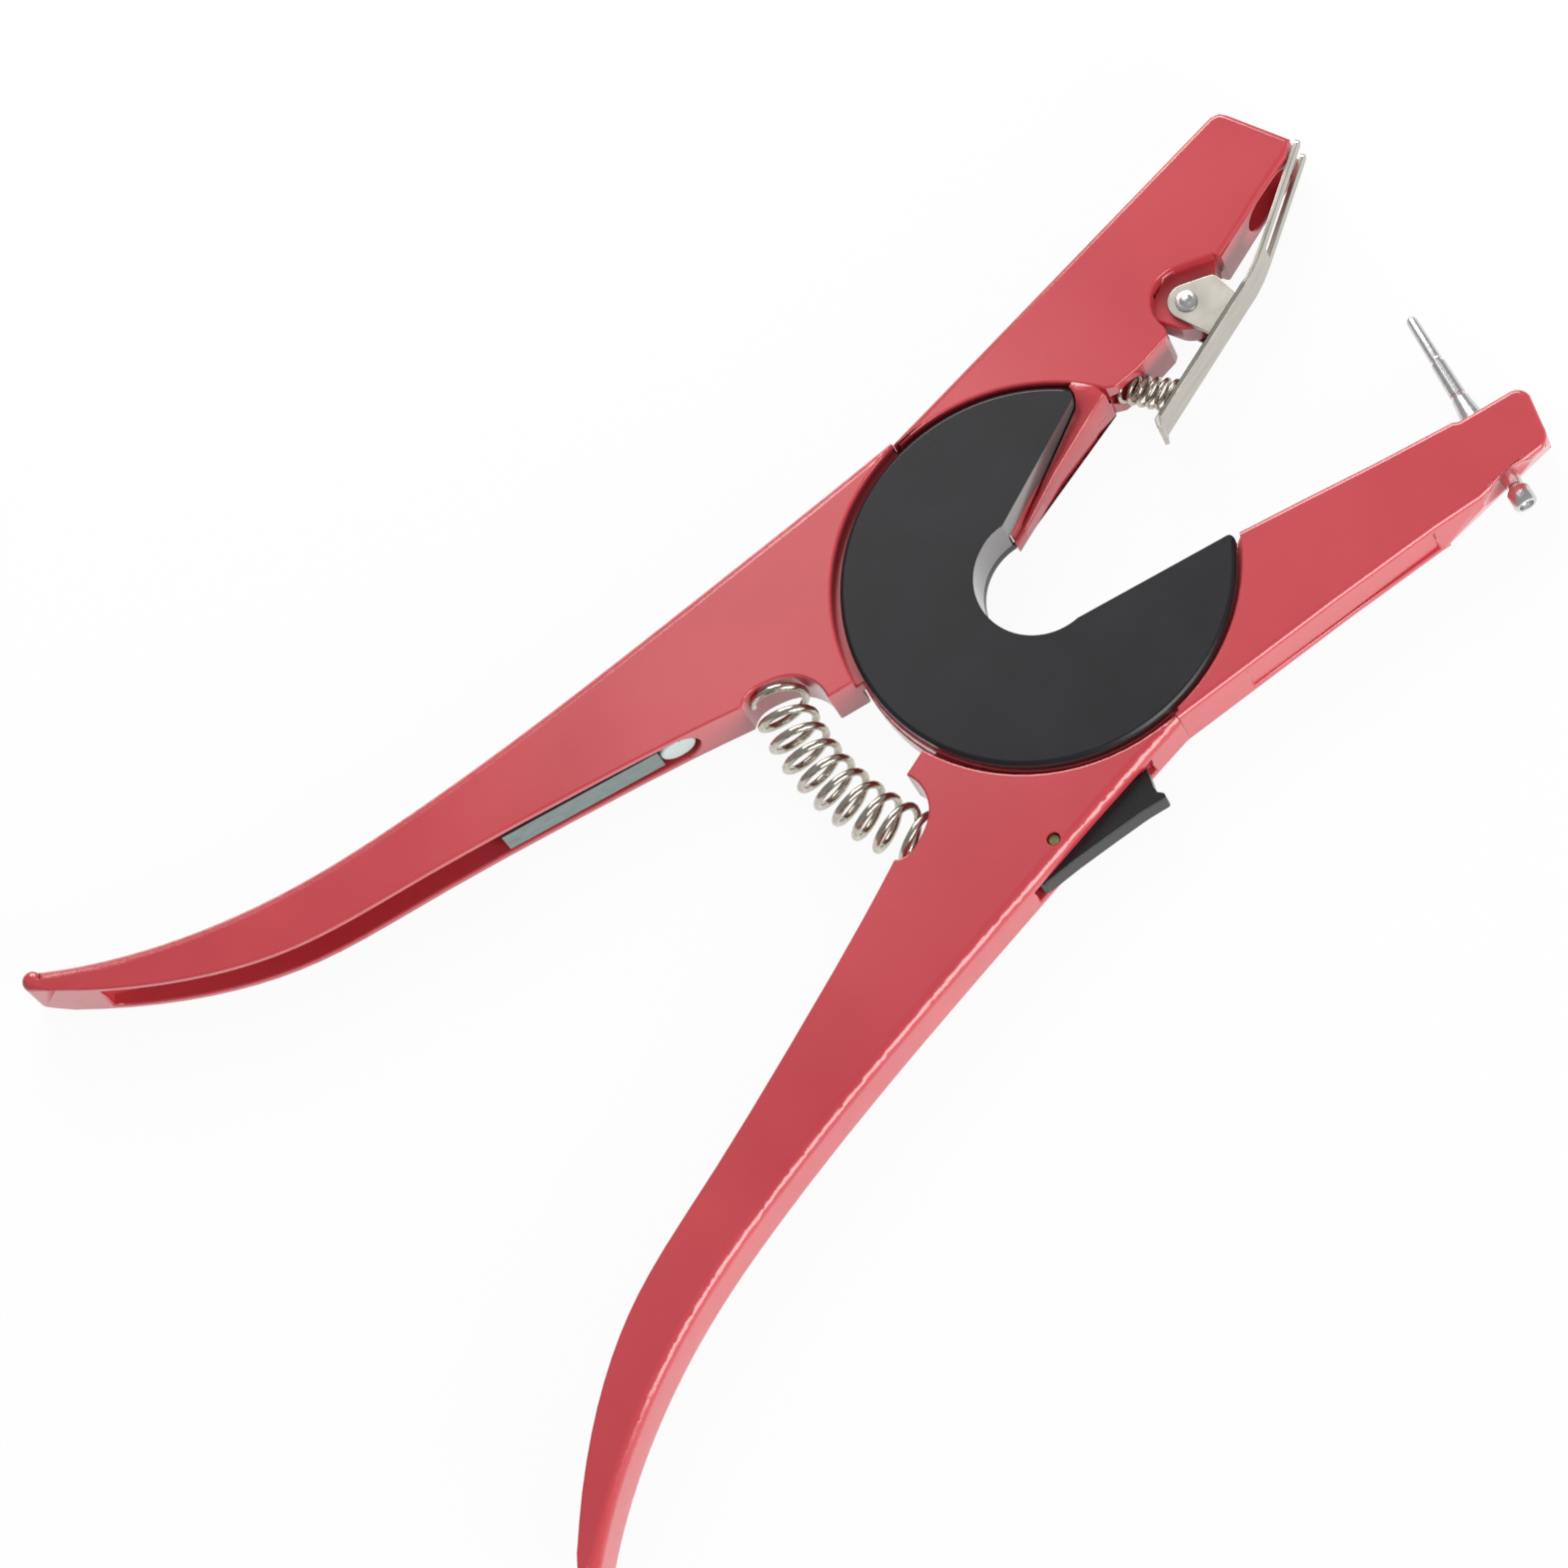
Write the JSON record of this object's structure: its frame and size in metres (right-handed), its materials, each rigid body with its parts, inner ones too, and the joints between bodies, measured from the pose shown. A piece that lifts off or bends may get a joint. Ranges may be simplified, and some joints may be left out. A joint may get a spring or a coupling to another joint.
{
  "type": "ear tag applicator",
  "caption": "Plier-shaped hand applicator for two-part ear tags, with a bored hub, a needle jaw, a sprung tag clip and a coil return spring.",
  "frame": {"origin": "axis of the jaw pivot at the back face, in the middle of the throat", "axes": "+X along the tool, from the handles to the jaws; +Y to the handle that is on the left with the jaws pointing away; +Z from the back face to the front"},
  "size_m": [0.2566, 0.1524, 0.011],
  "materials": {
    "red_casting": "red lacquered aluminium casting",
    "black_plastic": "black moulded plastic",
    "steel": "bright turned steel",
    "grey_steel": "grey steel",
    "pale_plastic": "pale plastic",
    "nickel": "warm nickel plate"
  },
  "bodies": {
    "needle_arm": {"pin_arm": "red_casting", "front_disc": "black_plastic", "rear_disc": "black_plastic", "disc_screws": "steel", "needle": "steel", "needle_nut": "steel", "spare_head": "pale_plastic", "spare_needle": "grey_steel", "return_spring": "nickel"},
    "clip_side_arm": {"clip_arm": "red_casting", "clip_rivet": "steel", "latch_pin": "steel", "clip_spring": "nickel"},
    "clip": {"tag_clip": "nickel"},
    "latch": {"latch_lever": "black_plastic"}
  },
  "joints": [
    {"name": "jaw_pivot", "type": "hinge", "parent": "needle_arm", "child": "clip_side_arm", "pos_m": [0, 0, 0], "axis": [0, 0, -1], "range_deg": [0, 28], "stiffness_Nm_per_rad": 0.6, "springref_deg": -5.73, "deforming": ["return_spring"]},
    {"name": "clip_hinge", "type": "hinge", "parent": "clip_side_arm", "child": "clip", "pos_m": [0.0515, 0.0181, 0], "axis": [0, 0, -1], "range_deg": [0, 12], "stiffness_Nm_per_rad": 0.05, "springref_deg": -5.73, "deforming": ["clip_spring"]},
    {"name": "latch_hinge", "type": "hinge", "parent": "clip_side_arm", "child": "latch", "pos_m": [-0.0299, -0.0367, 0], "axis": [0, 0, 1], "range_deg": [-12, 3]}
  ]
}
